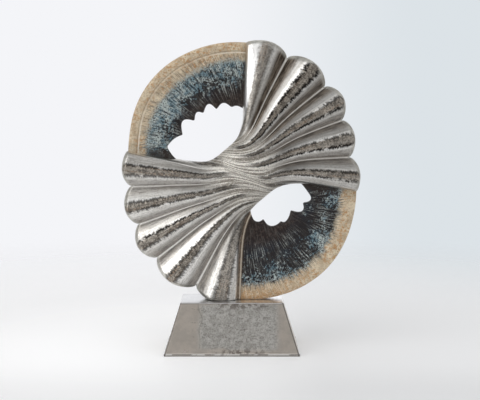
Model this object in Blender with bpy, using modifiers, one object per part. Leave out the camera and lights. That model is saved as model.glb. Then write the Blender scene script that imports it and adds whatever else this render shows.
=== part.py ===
"""An abstract metal sculpture: a fluted disc with a twisted waist, standing on its plinth.

Metres, +Z up, the front faces -Y. The origin is the middle of the plinth's underside.
"""
import bmesh
import bpy
import numpy as np
from mathutils import Matrix

# Plinth
PLINTH_HEIGHT = 0.068
PLINTH_BASE_WIDTH = 0.180
PLINTH_BASE_DEPTH = 0.114
PLINTH_TOP_WIDTH = 0.1375
PLINTH_TOP_DEPTH = 0.0725
PLINTH_LIP_HEIGHT = 0.003
PLINTH_LIP_STEP = 0.0008
PLINTH_EDGE_RADIUS = 0.0012

# Disc, seen from the front
DISC_HEIGHT = 0.361
DISC_WIDTH = 0.320
DISC_SHIFT = 0.013
SEAT_SINK = 0.0064
SEAT_GAP = 0.0003

# Fluted band: two fans and the twisted waist between them
BAND_ANGLE = np.radians(40)
WAIST_WIDTH = 0.084
WAIST_DEPTH = 0.064
FAN_DEPTH = 0.048
FAN_SPREAD = 1.155
FAN_LEAN = 0.035
RIM_NOSE_LENGTH = 0.007
FLUTES_A_SIDE = 5
FLUTE_SHARE_AT_RIM = 0.42
FLUTE_SHARE_AT_WAIST = 0.03
FLUTE_ROUNDNESS = 2.6
NOTCH_SHARE = 0.085
WAIST_SHIFT = 0.0052
WAIST_SHIFT_REACH = 0.42
OUTLINE_POWER = 2.2

# Unevenness of the oval as (degrees, share of its radius)
OUTLINE_TRIM = (
    (-15, 0.007),
    (-3, 0.008),
    (16, -0.0245),
    (37, -0.006),
    (59, -0.019),
    (78, -0.015),
    (90, -0.017),
    (100, -0.0225),
    (110, -0.029),
    (120, -0.023),
    (130, -0.0135),
    (140, -0.005),
    (150, 0.000),
    (165, -0.004),
    (180, 0.0145),
    (200, 0.0175),
    (220, 0.0245),
    (240, 0.0015),
    (250, 0.004),
    (262, 0.012),
    (280, -0.006),
    (291, -0.008),
    (303, -0.001),
    (315, 0.009),
    (330, 0.009),
)

# How the flutes turn from one face to the other along the band
TURN_SPREAD = 0.152
TURN_LAG = 0.05
TURN_LAG_LATE = 0.03

# Painted crescents
UPPER_CRESCENT_INSET = 0.0003
UPPER_CRESCENT_FIRST_END_INSET = 0.0055
UPPER_CRESCENT_LAST_END_INSET = 0.0080
LOWER_CRESCENT_INSET = 0.0008
LOWER_CRESCENT_FIRST_END_INSET = 0.0055
LOWER_CRESCENT_LAST_END_INSET = 0.0050
CRESCENT_OUTER_DEPTH = 0.026
CRESCENT_INNER_DEPTH = 0.019
CRESCENT_DISH = 0.0015
EYE_RADIUS = 0.1005
EYE_OFFSET_ACROSS = 0.0130
EYE_OFFSET_UP = 0.0134

# Mesh fineness
INNER_FLUTE_COLUMNS = np.array((0, 0.11, 0.28, 0.50, 0.72, 0.89))
EDGE_FLUTE_COLUMNS = np.array((0, 0.04, 0.12, 0.25, 0.42, 0.60, 0.76, 0.90))
ROWS_ALONG_BAND = 36
ROWS_ROUND_NOSE = 4
STATIONS_A_TOOTH = 6
POINTS_ROUND_CRESCENT = 12

# Inner edge of each crescent as (degrees round the eye, radius, depth of the bite up to the next point, lean
# of the bite), both lengths as shares of the eye's radius; a lean below 1 puts the deepest place earlier.
UPPER_TEETH = (
    (74.0, 0.989, 0.000, 1.0),
    (82.0, 0.989, 0.023, 1.0),
    (90.4, 0.990, 0.070, 1.0),
    (102.3, 0.979, 0.098, 0.85),
    (112.7, 0.988, 0.066, 1.0),
    (121.7, 0.952, 0.114, 1.0),
    (136.8, 0.905, 0.018, 0.8),
    (152.0, 0.988, 0.010, 1.0),
    (159.0, 0.790, 0.000, 1.0),
    (163.0, 0.676, 0.000, 1.0),
)
LOWER_TEETH = (
    (262.0, 0.540, 0.000, 1.0),
    (268.5, 0.620, 0.000, 1.0),
    (270.3, 0.727, 0.000, 1.0),
    (272.6, 0.793, 0.033, 1.0),
    (282.4, 0.785, 0.095, 0.6),
    (296.8, 0.892, 0.056, 0.55),
    (309.0, 0.843, 0.094, 1.15),
    (321.0, 0.886, 0.068, 1.3),
    (330.8, 0.890, 0.000, 1.0),
    (338.0, 0.676, 0.000, 1.0),
)
UPPER_BITE_ROUNDNESS = 1.15
LOWER_BITE_ROUNDNESS = 0.75
CRESCENT_REACH = np.radians((82.0, 177.0))

AXIS_ALONG = np.array((np.cos(BAND_ANGLE), np.sin(BAND_ANGLE)))
AXIS_ACROSS = np.array((-np.sin(BAND_ANGLE), np.cos(BAND_ANGLE)))
DISC_CENTRE_HEIGHT = PLINTH_HEIGHT + DISC_HEIGHT / 2 - SEAT_SINK


def clear_scene():
    for thing in list(bpy.data.objects):
        bpy.data.objects.remove(thing, do_unlink=True)


def collection(name):
    made = bpy.data.collections.new(name)
    bpy.context.scene.collection.children.link(made)
    return made


def metal(name, colour, roughness, metallic):
    """A plain Principled material of one colour."""
    made = bpy.data.materials.new(name)
    made.use_nodes = True
    shader = made.node_tree.nodes["Principled BSDF"]
    shader.inputs["Base Color"].default_value = (*colour, 1.0)
    shader.inputs["Roughness"].default_value = roughness
    shader.inputs["Metallic"].default_value = metallic
    return made


def add_object(name, shape, home, material=None):
    """Turn a bmesh into a named object in the collection home."""
    mesh = bpy.data.meshes.new(name)
    shape.to_mesh(mesh)
    shape.free()
    made = bpy.data.objects.new(name, mesh)
    home.objects.link(made)
    if material:
        mesh.materials.append(material)
    return made


def add_boolean(target, cutter, operation):
    modifier = target.modifiers.new(cutter.name, "BOOLEAN")
    modifier.operation = operation
    modifier.solver = "EXACT"
    modifier.object = cutter
    cutter.hide_render = True
    cutter.display_type = "WIRE"


def outline_trim(angle):
    """Share by which the oval is larger than its even form, run smoothly through the table."""
    degrees = np.degrees(angle)
    table = np.array(OUTLINE_TRIM)
    total = 0
    for step in (-6, -3, 0, 3, 6):
        total = total + np.interp(degrees + step, table[:, 0], table[:, 1], period=360)
    return total / 5


def outline_radius(angle):
    """Radius of the oval that runs over the crests of all lobes."""
    across = np.abs(np.cos(angle)) / (DISC_WIDTH / 2)
    upward = np.abs(np.sin(angle)) / (DISC_HEIGHT / 2)
    even = (across**OUTLINE_POWER + upward**OUTLINE_POWER) ** (-1 / OUTLINE_POWER)
    return even * (1 + outline_trim(angle))


def flute_place(q):
    """Even flute count q to its share of the way round the band; the flutes at the edges are wider."""
    return q + 0.05 * np.sin(2 * np.pi * q) + 0.03 * np.sin(np.pi * q)


def share_turned(s, place):
    """How far a flute has turned at station s: 0 at the upper rim, 1 at the lower rim."""
    lag = TURN_LAG_LATE * np.sin(2 * np.pi * place) - TURN_LAG * np.sin(np.pi * place)
    upper = np.arctan((1 - lag) / TURN_SPREAD)
    lower = np.arctan((1 + lag) / TURN_SPREAD)
    return (upper - np.arctan((s - lag) / TURN_SPREAD)) / (upper + lower)


def fan_reach(c, facing):
    """Length of a fan along the band's axis on the ray at share c of its half spread."""
    spread = np.arctan((FAN_SPREAD - FAN_LEAN * c) * c)
    return outline_radius(BAND_ANGLE + facing + spread) * np.cos(spread)


def band_point(s, q):
    """Point of the fluted band: station s from -1 (lower rim) to 1 (upper rim), q from 0 to 2 round it."""
    place = flute_place(q)
    t = place - share_turned(s, place)
    straight = 1 - 2 * np.abs((t + 1) % 2 - 1)
    roundness = 0.8 * np.exp(-((s / 0.22) ** 2))
    c = (1 - roundness) * straight + roundness * np.cos(np.pi * t)
    side = np.where(t % 2 < 1, -1.0, 1.0)

    lobe = np.abs(np.sin(FLUTES_A_SIDE * np.pi * q))
    at_edge = np.abs(np.cos(np.pi * q)) ** 12
    notch = NOTCH_SHARE * (1 - 0.6 * at_edge) * (1 - lobe**0.6)
    upper = np.tanh(s / 0.15)
    reach = 0.5 * (1 + upper) * fan_reach(c, 0) + 0.5 * (1 - upper) * fan_reach(-c, np.pi)
    along = s * reach * (1 - notch * np.abs(s) ** 4)

    slope = FAN_SPREAD - FAN_LEAN * c * upper
    half_width = ((WAIST_WIDTH / 2) ** 4 + (slope * along) ** 4) ** 0.25
    across = c * half_width - WAIST_SHIFT * np.exp(-((s / WAIST_SHIFT_REACH) ** 4))

    power = 2 + 3 * np.tanh(2 * s) ** 2
    pillow = np.clip(1 - np.abs(c) ** power, 0, 1) ** (1 / power)
    swell = 1 - np.abs(s) ** 1.2
    half_depth = FAN_DEPTH / 2 + (WAIST_DEPTH - FAN_DEPTH) / 2 * swell
    flute_share = FLUTE_SHARE_AT_WAIST + (FLUTE_SHARE_AT_RIM - FLUTE_SHARE_AT_WAIST) * np.abs(s) ** 1.15
    fluted = 1 - flute_share * (1 - lobe**FLUTE_ROUNDNESS) * (1 - at_edge)
    nose_share = RIM_NOSE_LENGTH / (DISC_WIDTH / 2)
    into_nose = np.clip((np.abs(s) - 1 + nose_share) / nose_share, 0, 1)
    nose = np.sqrt(np.clip(1 - into_nose**2, 0, 1))
    depth = side * half_depth * pillow * fluted * nose

    flat = along[..., None] * AXIS_ALONG + across[..., None] * AXIS_ACROSS
    return flat[..., 0] + DISC_SHIFT, depth, flat[..., 1] + DISC_CENTRE_HEIGHT


def band_stations():
    """Stations along the band: close together at the waist, then round the nose of each rim."""
    nose_share = RIM_NOSE_LENGTH / (DISC_WIDTH / 2)
    even = np.linspace(-1, 1, ROWS_ALONG_BAND)
    between = (1 - nose_share) * np.sinh(3 * even) / np.sinh(3)
    round_nose = 1 - nose_share + nose_share * np.sin(np.linspace(0, np.pi / 2, ROWS_ROUND_NOSE + 1)[1:])
    return np.concatenate((-round_nose[::-1], between, round_nose))


def loft_rings(rings, close_ends):
    """Skin a list of equal rings of points; close_ends caps the first and the last ring. Without caps both end
    rings are flat, and the triangles beside them all lean one way so that front and back share no edge there."""
    shape = bmesh.new()
    rows = [[shape.verts.new(point) for point in ring] for ring in rings]
    spans = list(zip(rows, rows[1:]))
    for number, (low, high) in enumerate(spans):
        beside_flat_end = not close_ends and number in (0, len(spans) - 1)
        for i in range(len(low)):
            j = (i + 1) % len(low)
            if beside_flat_end:
                shape.faces.new((low[i], low[j], high[j]))
                shape.faces.new((low[i], high[j], high[i]))
            else:
                shape.faces.new((low[i], low[j], high[j], high[i]))
    if close_ends:
        shape.faces.new(rows[0][::-1])
        shape.faces.new(rows[-1])
    bmesh.ops.remove_doubles(shape, verts=shape.verts, dist=0.00005)
    bmesh.ops.dissolve_degenerate(shape, edges=shape.edges, dist=0.00002)
    bmesh.ops.triangulate(shape, faces=shape.faces)
    bmesh.ops.recalc_face_normals(shape, faces=shape.faces)
    return shape


def band_columns():
    """Places q round the band: closer at the notches and towards the outer side of the edge flutes."""
    first = EDGE_FLUTE_COLUMNS
    last = 1 - EDGE_FLUTE_COLUMNS[:0:-1]
    inner = [flute + INNER_FLUTE_COLUMNS for flute in range(1, FLUTES_A_SIDE - 1)]
    front = np.concatenate((first, *inner, (FLUTES_A_SIDE - 1,), FLUTES_A_SIDE - 1 + last)) / FLUTES_A_SIDE
    return np.concatenate((front, 2 - front[:0:-1], (1,)))


def make_band(home, material):
    q = np.sort(band_columns())
    rings = [list(zip(*band_point(np.full_like(q, s), q))) for s in band_stations()]
    return add_object("twisted_disc", loft_rings(rings, close_ends=False), home, material)


def eye_edge(teeth, roundness):
    """Angles and radii along a crescent's toothed inner edge, each bite a rounded arch."""
    angles = []
    radii = []
    for (start, first, bite, lean), (end, last, _, _) in zip(teeth, teeth[1:]):
        steps = STATIONS_A_TOOTH if bite else 1
        for x in np.arange(steps) / steps:
            angles.append(start + (end - start) * x)
            radii.append(first + (last - first) * x + bite * np.sin(np.pi * x**lean) ** roundness)
    angles.append(teeth[-1][0])
    radii.append(teeth[-1][1])
    return np.radians(angles), np.array(radii) * EYE_RADIUS


def crescent_ring(inner, outer):
    """Section of a crescent from its inner to its outer edge, with rounded edges and a dished face."""
    turn = np.arange(POINTS_ROUND_CRESCENT) * 2 * np.pi / POINTS_ROUND_CRESCENT
    share = 0.5 + 0.5 * np.sign(np.cos(turn)) * np.abs(np.cos(turn)) ** 0.35
    half = (CRESCENT_INNER_DEPTH + (CRESCENT_OUTER_DEPTH - CRESCENT_INNER_DEPTH) * share) / 2
    half = half - CRESCENT_DISH * np.sin(np.pi * share)
    depth = -half * np.sign(np.sin(turn)) * np.abs(np.sin(turn)) ** 0.35
    flat = inner + (outer - inner) * share[:, None]
    return [(x + DISC_SHIFT, y, z + DISC_CENTRE_HEIGHT) for (x, z), y in zip(flat, depth)]


def make_crescent(name, edge, insets, side, home):
    """edge is the toothed inner edge and insets those from the oval at the crescent's middle, first and last
    end; side is 1 for the upper crescent and -1 for the lower, which is turned by half a turn."""
    angles, radii = edge
    middle_inset, first_inset, last_inset = insets
    eye = -side * np.array((EYE_OFFSET_ACROSS, EYE_OFFSET_UP))
    way = (angles - angles[0]) / (angles[-1] - angles[0])
    start, end = CRESCENT_REACH + (0 if side > 0 else np.pi)
    rings = []
    for angle, radius, share in zip(angles, radii, way):
        outer_angle = start + (end - start) * share
        inner = eye + radius * np.array((np.cos(angle), np.sin(angle)))
        end_inset = first_inset if share < 0.5 else last_inset
        outer_radius = outline_radius(outer_angle) - middle_inset - end_inset * (2 * share - 1) ** 2
        outer = outer_radius * np.array((np.cos(outer_angle), np.sin(outer_angle)))
        rings.append(crescent_ring(inner, outer))
    return add_object(name, loft_rings(rings, close_ends=True), home)


def make_seat_cutter(home):
    """Everything of the disc below the plinth's top, less the gap, is cut away."""
    shape = bmesh.new()
    size = Matrix.Diagonal((2 * DISC_WIDTH, 2 * WAIST_DEPTH, DISC_HEIGHT, 1))
    top = PLINTH_HEIGHT + SEAT_GAP
    place = Matrix.Translation((DISC_SHIFT, 0, top - DISC_HEIGHT / 2))
    bmesh.ops.create_cube(shape, size=1, matrix=place @ size)
    return add_object("seat_cutter", shape, home)


def make_plinth(home, material):
    """A slab for the lip, with its top drawn in and up to the plinth's top face."""
    shape = bmesh.new()
    size = Matrix.Diagonal((PLINTH_BASE_WIDTH, PLINTH_BASE_DEPTH, PLINTH_LIP_HEIGHT, 1))
    place = Matrix.Translation((0, 0, PLINTH_LIP_HEIGHT / 2))
    bmesh.ops.create_cube(shape, size=1, matrix=place @ size)
    top = next(face for face in shape.faces if face.normal.z > 0.9)
    foot = (PLINTH_BASE_WIDTH - 2 * PLINTH_LIP_STEP, PLINTH_BASE_DEPTH - 2 * PLINTH_LIP_STEP)
    head = (PLINTH_TOP_WIDTH, PLINTH_TOP_DEPTH)
    for (width, depth), height in ((foot, PLINTH_LIP_HEIGHT), (head, PLINTH_HEIGHT)):
        grown = bmesh.ops.extrude_face_region(shape, geom=[top])
        shape.faces.remove(top)
        top = next(item for item in grown["geom"] if isinstance(item, bmesh.types.BMFace))
        for vert in top.verts:
            vert.co.x = np.sign(vert.co.x) * width / 2
            vert.co.y = np.sign(vert.co.y) * depth / 2
            vert.co.z = height
    made = add_object("plinth", shape, home, material)
    bevel = made.modifiers.new("edges", "BEVEL")
    bevel.width = PLINTH_EDGE_RADIUS
    bevel.segments = 2
    bevel.limit_method = "ANGLE"
    bevel.angle_limit = np.radians(50)
    return made


def main():
    clear_scene()
    home = collection("twisted_disc_sculpture")
    cutters = collection("cutters")
    silver = metal("worn_silver", (0.72, 0.70, 0.67), 0.32, 1.0)
    pewter = metal("brushed_pewter", (0.42, 0.40, 0.38), 0.35, 1.0)

    disc = make_band(home, silver)
    edge = eye_edge(UPPER_TEETH, UPPER_BITE_ROUNDNESS)
    insets = (UPPER_CRESCENT_INSET, UPPER_CRESCENT_FIRST_END_INSET, UPPER_CRESCENT_LAST_END_INSET)
    upper = make_crescent("upper_crescent", edge, insets, 1, cutters)
    edge = eye_edge(LOWER_TEETH, LOWER_BITE_ROUNDNESS)
    insets = (LOWER_CRESCENT_INSET, LOWER_CRESCENT_FIRST_END_INSET, LOWER_CRESCENT_LAST_END_INSET)
    lower = make_crescent("lower_crescent", edge, insets, -1, cutters)
    add_boolean(disc, upper, "UNION")
    add_boolean(disc, lower, "UNION")
    add_boolean(disc, make_seat_cutter(cutters), "DIFFERENCE")
    disc.data.shade_smooth()
    disc.data.set_sharp_from_angle(angle=np.radians(40))

    make_plinth(home, pewter)


main()
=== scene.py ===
"""Looks of the fluted disc sculpture: worn silver band, two painted crescents and a pewter plinth.

Metres, +Z up, the front faces -Y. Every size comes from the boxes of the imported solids.
"""

import bmesh
import bpy
import numpy as np
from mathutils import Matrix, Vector


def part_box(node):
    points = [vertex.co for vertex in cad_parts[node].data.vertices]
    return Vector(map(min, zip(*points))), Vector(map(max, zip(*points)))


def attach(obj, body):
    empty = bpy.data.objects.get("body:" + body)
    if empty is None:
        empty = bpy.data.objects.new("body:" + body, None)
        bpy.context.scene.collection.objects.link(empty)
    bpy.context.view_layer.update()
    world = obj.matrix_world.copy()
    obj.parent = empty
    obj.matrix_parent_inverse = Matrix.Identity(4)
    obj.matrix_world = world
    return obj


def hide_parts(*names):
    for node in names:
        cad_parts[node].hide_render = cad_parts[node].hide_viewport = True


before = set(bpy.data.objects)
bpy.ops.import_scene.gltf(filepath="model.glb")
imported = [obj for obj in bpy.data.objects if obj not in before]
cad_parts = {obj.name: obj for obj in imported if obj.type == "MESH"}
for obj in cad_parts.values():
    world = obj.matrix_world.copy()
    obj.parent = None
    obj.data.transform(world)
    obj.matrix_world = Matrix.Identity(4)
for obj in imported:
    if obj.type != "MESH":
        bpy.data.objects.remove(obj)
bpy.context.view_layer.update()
disc_low, disc_high = (np.array(corner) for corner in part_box("twisted_disc"))
plinth_low, plinth_high = (np.array(corner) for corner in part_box("plinth"))

# Disc, from its box
DISC_SHARE_OF_BOX = 0.99229
DISC_CENTRE_SHARE = 0.50174
DISC_HEIGHT_TO_WIDTH = 1.128125
DISC_WIDTH = DISC_SHARE_OF_BOX * (disc_high[0] - disc_low[0])
DISC_SHIFT = disc_low[0] + DISC_CENTRE_SHARE * (disc_high[0] - disc_low[0])
DISC_HEIGHT = DISC_HEIGHT_TO_WIDTH * DISC_WIDTH
SEAT_SINK = 0.0064
DISC_CENTRE_HEIGHT = plinth_high[2] + DISC_HEIGHT / 2 - SEAT_SINK
KEEP_INSIDE = 0.00005
JOIN_DISTANCE = 0.00001

# Fluted band
BAND_ANGLE = np.radians(40)
WAIST_WIDTH = 0.084
WAIST_DEPTH = disc_high[1] - disc_low[1]
FAN_DEPTH = 0.048
FAN_SPREAD = 1.155
FAN_LEAN = 0.035
RIM_NOSE_LENGTH = 0.007
NOSE_SHARE = RIM_NOSE_LENGTH / (DISC_WIDTH / 2)
FLUTES_A_SIDE = 5
FLUTE_SHARE_AT_RIM = 0.42
FLUTE_SHARE_AT_WAIST = 0.03
FLUTE_DEEPENING_POWER = 1.15
FLUTE_ROUNDNESS = 2.6
FLUTE_DRIFT = 0.05
FLUTE_DRIFT_SLOW = 0.03
NOTCH_SHARE = 0.085
NOTCH_LOSS_AT_EDGE = 0.6
NOTCH_POWER = 0.6
WAIST_SHIFT = 0.0052
WAIST_SHIFT_REACH = 0.42
WAIST_ROUNDNESS = 0.8
WAIST_ROUNDNESS_REACH = 0.22
FAN_CHANGEOVER = 0.15
EDGE_FLUTE_POWER = 12
OUTLINE_POWER = 2.2
TURN_SPREAD = 0.152
TURN_LAG = 0.05
TURN_LAG_LATE = 0.03
VALLEY_RIB = 0.0007
VALLEY_RIB_WIDTH = 0.03
HAMMER_DENT = 0.00035
HAMMER_PITCH = 0.0055
HAMMER_FINE_SHARE = 0.35
HAMMER_FADE_AT_RIM = 0.03
COLUMNS_A_FLUTE = 46
ROWS_ALONG_BAND = 168
ROWS_ROUND_NOSE = 14
ROW_CROWDING = 2.2
EDGE_COLUMN_POWER = 1.5

# Look of each flute: middle and half width of its crest band as shares of the flute, strength of the band's
# upper and lower border, brightness of its left and right flank, darkness of the valley before it, and
# darkness of its crest band. The crest band is a painted reflection of the dark front, with wear specks;
# the flank brightness is painted light.
FLUTE_LOOKS = np.array(
    (
        (0.54, 0.120, 0.40, 0.40, 0.95, 0.80, 0.15, 0.70),
        (0.56, 0.125, 1.00, 1.00, 0.95, 0.72, 1.00, 1.00),
        (0.55, 0.135, 0.85, 1.00, 0.80, 0.80, 0.90, 0.95),
        (0.55, 0.140, 0.85, 1.00, 0.78, 0.84, 0.70, 0.90),
        (0.55, 0.130, 0.85, 0.90, 0.75, 0.80, 0.60, 0.90),
        (0.53, 0.150, 0.90, 0.75, 0.72, 0.82, 0.30, 0.90),
        (0.50, 0.110, 0.85, 0.85, 0.78, 0.86, 0.50, 0.95),
        (0.49, 0.120, 1.00, 0.80, 0.92, 0.84, 0.60, 0.95),
        (0.50, 0.095, 0.90, 0.75, 0.95, 0.86, 0.70, 1.00),
        (0.55, 0.160, 0.65, 0.65, 0.95, 0.90, 0.75, 0.85),
    )
)

# Unevenness of the oval as (degrees, share of its radius)
OUTLINE_TRIM = (
    (-15, 0.007),
    (-3, 0.008),
    (16, -0.0245),
    (37, -0.006),
    (59, -0.019),
    (78, -0.015),
    (90, -0.017),
    (100, -0.0225),
    (110, -0.029),
    (120, -0.023),
    (130, -0.0135),
    (140, -0.005),
    (150, 0.000),
    (165, -0.004),
    (180, 0.0145),
    (200, 0.0175),
    (220, 0.0245),
    (240, 0.0015),
    (250, 0.004),
    (262, 0.012),
    (280, -0.006),
    (291, -0.008),
    (303, -0.001),
    (315, 0.009),
    (330, 0.009),
)

# Painted crescents; the insets are from the oval at the middle, the first and the last end
UPPER_CRESCENT_INSETS = (0.0003, 0.0055, 0.0080)
LOWER_CRESCENT_INSETS = (0.0008, 0.0055, 0.0050)
CRESCENT_OUTER_DEPTH = 0.026
CRESCENT_INNER_DEPTH = 0.019
CRESCENT_DISH = 0.0015
CRESCENT_EDGE_POWER = 5.7
EYE_RADIUS = 0.1005
EYE_OFFSET = np.array((0.0130, 0.0134))
BEAD_FROM_RIM = 0.0145
BEAD_HEIGHT = 0.0007
BEAD_WIDTH = 0.0011
GROOVE_BEAD_WIDTHS_AWAY = 2.2
GROOVE_SHARE = 0.6
SCRATCH_RELIEF = 0.0002
SCRATCH_PITCH = 0.004
DEGREES_A_STATION = 0.28
POINTS_ACROSS_CRESCENT = 44
EVEN_SPACING_SHARE = 0.55
LAYOUT_SCALE = 10

# Inner edge of each crescent as (degrees round the eye, radius, depth of the bite up to the next point,
# lean of the bite), both lengths as shares of the eye's radius. A lean below 1 puts the deepest place
# earlier.
UPPER_TEETH = (
    (74.0, 0.989, 0.000, 1.0),
    (82.0, 0.989, 0.023, 1.0),
    (90.4, 0.990, 0.070, 1.0),
    (102.3, 0.979, 0.098, 0.85),
    (112.7, 0.988, 0.066, 1.0),
    (121.7, 0.952, 0.114, 1.0),
    (136.8, 0.905, 0.018, 0.8),
    (152.0, 0.988, 0.010, 1.0),
    (159.0, 0.790, 0.000, 1.0),
    (163.0, 0.676, 0.000, 1.0),
)
LOWER_TEETH = (
    (262.0, 0.540, 0.000, 1.0),
    (268.5, 0.620, 0.000, 1.0),
    (270.3, 0.727, 0.000, 1.0),
    (272.6, 0.793, 0.033, 1.0),
    (282.4, 0.785, 0.095, 0.6),
    (296.8, 0.892, 0.056, 0.55),
    (309.0, 0.843, 0.094, 1.15),
    (321.0, 0.886, 0.068, 1.3),
    (330.8, 0.890, 0.000, 1.0),
    (338.0, 0.676, 0.000, 1.0),
)
UPPER_BITE_ROUNDNESS = 1.15
LOWER_BITE_ROUNDNESS = 0.75
TOOTH_WEAR_STATIONS = 6
TOOTH_WEAR_SPREAD = 2.4
CRESCENT_REACH = np.radians((82.0, 177.0))

# Plinth
PLINTH_LIP_HEIGHT = 0.003
PLINTH_LIP_STEP = 0.0008
PLINTH_LIP_ROUND = 0.0004
PLINTH_FOOT_ROUND = 0.0006
PLINTH_TOP_ROUND = 0.0012
PLINTH_TOP_INSET = 0.0011
PLINTH_CORNER_RADIUS = 0.0014
PLINTH_CORNER_GROWTH = 0.0004
PLINTH_TOP_SHARES = (0.1375 / 0.180, 0.0725 / 0.114)
PLINTH_SIDE_SLOPE = 0.3146
PLINTH_WEAR = 0.00022
PLINTH_WEAR_FADE = 0.004
POINTS_A_PLINTH_SIDE = 96
POINTS_A_PLINTH_CORNER = 7

# View of the photograph
IMAGE_WIDTH = 480
METRES_A_PIXEL = 0.001357
VIEW_TARGET = (0.01086, 0.0, 0.2029)
VIEW_DISTANCE = 1.5
VIEW_ELEVATION = np.radians(5)
SENSOR = 36.0

AXIS_ALONG = np.array((np.cos(BAND_ANGLE), np.sin(BAND_ANGLE)))
AXIS_ACROSS = np.array((-np.sin(BAND_ANGLE), np.cos(BAND_ANGLE)))


def lattice(i, j, k):
    """Repeatable random numbers from 0 to 1 at whole-number places."""
    mixed = (i * 374761393 + j * 668265263 + k * 2147483647) & 0xFFFFFFFF
    mixed = ((mixed ^ (mixed >> 13)) * 1274126177) & 0xFFFFFFFF
    return ((mixed ^ (mixed >> 16)) & 0xFFFF) / 65535.0


def smooth_noise(points, pitch):
    """Smooth value noise from 0 to 1 at points, with bumps about a pitch apart."""
    place = np.asarray(points) / pitch + 1000.0
    whole = np.floor(place).astype(np.int64)
    part = place - whole
    part = part * part * (3 - 2 * part)
    total = 0.0
    for dx in (0, 1):
        for dy in (0, 1):
            for dz in (0, 1):
                weight = (
                    np.where(dx, part[..., 0], 1 - part[..., 0])
                    * np.where(dy, part[..., 1], 1 - part[..., 1])
                    * np.where(dz, part[..., 2], 1 - part[..., 2])
                )
                total = total + weight * lattice(whole[..., 0] + dx, whole[..., 1] + dy, whole[..., 2] + dz)
    return total


def outline_trim(angle):
    """Share by which the oval is larger than its even form, run smoothly through the table."""
    degrees = np.degrees(angle)
    table = np.array(OUTLINE_TRIM)
    total = 0
    for step in (-6, -3, 0, 3, 6):
        total = total + np.interp(degrees + step, table[:, 0], table[:, 1], period=360)
    return total / 5


def outline_radius(angle):
    """Radius of the oval that runs over the crests of all lobes."""
    across = np.abs(np.cos(angle)) / (DISC_WIDTH / 2)
    upward = np.abs(np.sin(angle)) / (DISC_HEIGHT / 2)
    even = (across**OUTLINE_POWER + upward**OUTLINE_POWER) ** (-1 / OUTLINE_POWER)
    return even * (1 + outline_trim(angle))


def flute_place(q):
    """Place round the band at which q stands, a little uneven so that the flutes differ in width."""
    return q + FLUTE_DRIFT * np.sin(2 * np.pi * q) + FLUTE_DRIFT_SLOW * np.sin(np.pi * q)


def share_turned(s, place):
    """How far a flute has turned at station s: 0 at the upper rim, 1 at the lower rim."""
    lag = TURN_LAG_LATE * np.sin(2 * np.pi * place) - TURN_LAG * np.sin(np.pi * place)
    upper = np.arctan((1 - lag) / TURN_SPREAD)
    lower = np.arctan((1 + lag) / TURN_SPREAD)
    return (upper - np.arctan((s - lag) / TURN_SPREAD)) / (upper + lower)


def fan_reach(c, facing):
    """Length of a fan along the band's axis on the ray at share c of its half spread."""
    spread = np.arctan((FAN_SPREAD - FAN_LEAN * c) * c)
    return outline_radius(BAND_ANGLE + facing + spread) * np.cos(spread)


def band_plan(s, c, notch):
    """Place along and across the band's axis at station s and share c of the half width, with the rim cut
    in by the share notch."""
    upper = np.tanh(s / FAN_CHANGEOVER)
    reach = 0.5 * (1 + upper) * fan_reach(c, 0) + 0.5 * (1 - upper) * fan_reach(-c, np.pi)
    along = s * reach * (1 - notch * np.abs(s) ** 4)
    slope = FAN_SPREAD - FAN_LEAN * c * upper
    half_width = ((WAIST_WIDTH / 2) ** 4 + (slope * along) ** 4) ** 0.25
    across = c * half_width - WAIST_SHIFT * np.exp(-((s / WAIST_SHIFT_REACH) ** 4))
    return along[..., None] * AXIS_ALONG + across[..., None] * AXIS_ACROSS


def band_point(s, q):
    """Points of the fluted band as an array: station s from -1 to 1, q from 0 to 2 round it."""
    place = flute_place(q)
    t = place - share_turned(s, place)
    straight = 1 - 2 * np.abs((t + 1) % 2 - 1)
    roundness = WAIST_ROUNDNESS * np.exp(-((s / WAIST_ROUNDNESS_REACH) ** 2))
    c = (1 - roundness) * straight + roundness * np.cos(np.pi * t)
    side = np.where(t % 2 < 1, -1.0, 1.0)

    lobe = np.abs(np.sin(FLUTES_A_SIDE * np.pi * q))
    at_edge = np.abs(np.cos(np.pi * q)) ** EDGE_FLUTE_POWER
    notch = NOTCH_SHARE * (1 - NOTCH_LOSS_AT_EDGE * at_edge) * (1 - lobe**NOTCH_POWER)
    flat = band_plan(s, c, notch)

    power = 2 + 3 * np.tanh(2 * s) ** 2
    pillow = np.clip(1 - np.abs(c) ** power, 0, 1) ** (1 / power)
    swell = 1 - np.abs(s) ** 1.2
    half_depth = FAN_DEPTH / 2 + (WAIST_DEPTH - FAN_DEPTH) / 2 * swell
    deepened = np.abs(s) ** FLUTE_DEEPENING_POWER
    flute_share = FLUTE_SHARE_AT_WAIST + (FLUTE_SHARE_AT_RIM - FLUTE_SHARE_AT_WAIST) * deepened
    fluted = 1 - flute_share * (1 - lobe**FLUTE_ROUNDNESS) * (1 - at_edge)
    rib_place = np.arcsin(np.clip(lobe, 0, 1)) / np.pi
    rib = VALLEY_RIB * np.exp(-((rib_place / VALLEY_RIB_WIDTH) ** 2)) * np.abs(s) ** 0.5 * (1 - at_edge)
    into_nose = np.clip((np.abs(s) - 1 + NOSE_SHARE) / NOSE_SHARE, 0, 1)
    nose = np.sqrt(np.clip(1 - into_nose**2, 0, 1))
    depth = side * (half_depth * pillow * fluted + rib) * nose
    return np.stack((flat[..., 0] + DISC_SHIFT, depth, flat[..., 1] + DISC_CENTRE_HEIGHT), axis=-1)


def band_stations():
    """Stations along the band: close at the waist and round the noses, wider between them."""
    even = np.linspace(-1, 1, ROWS_ALONG_BAND)
    between = (1 - NOSE_SHARE) * np.sinh(ROW_CROWDING * even) / np.sinh(ROW_CROWDING)
    round_nose = 1 - NOSE_SHARE + NOSE_SHARE * np.sin(np.linspace(0, np.pi / 2, ROWS_ROUND_NOSE + 1)[1:])
    return np.concatenate((-round_nose[::-1], between, round_nose))


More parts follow.
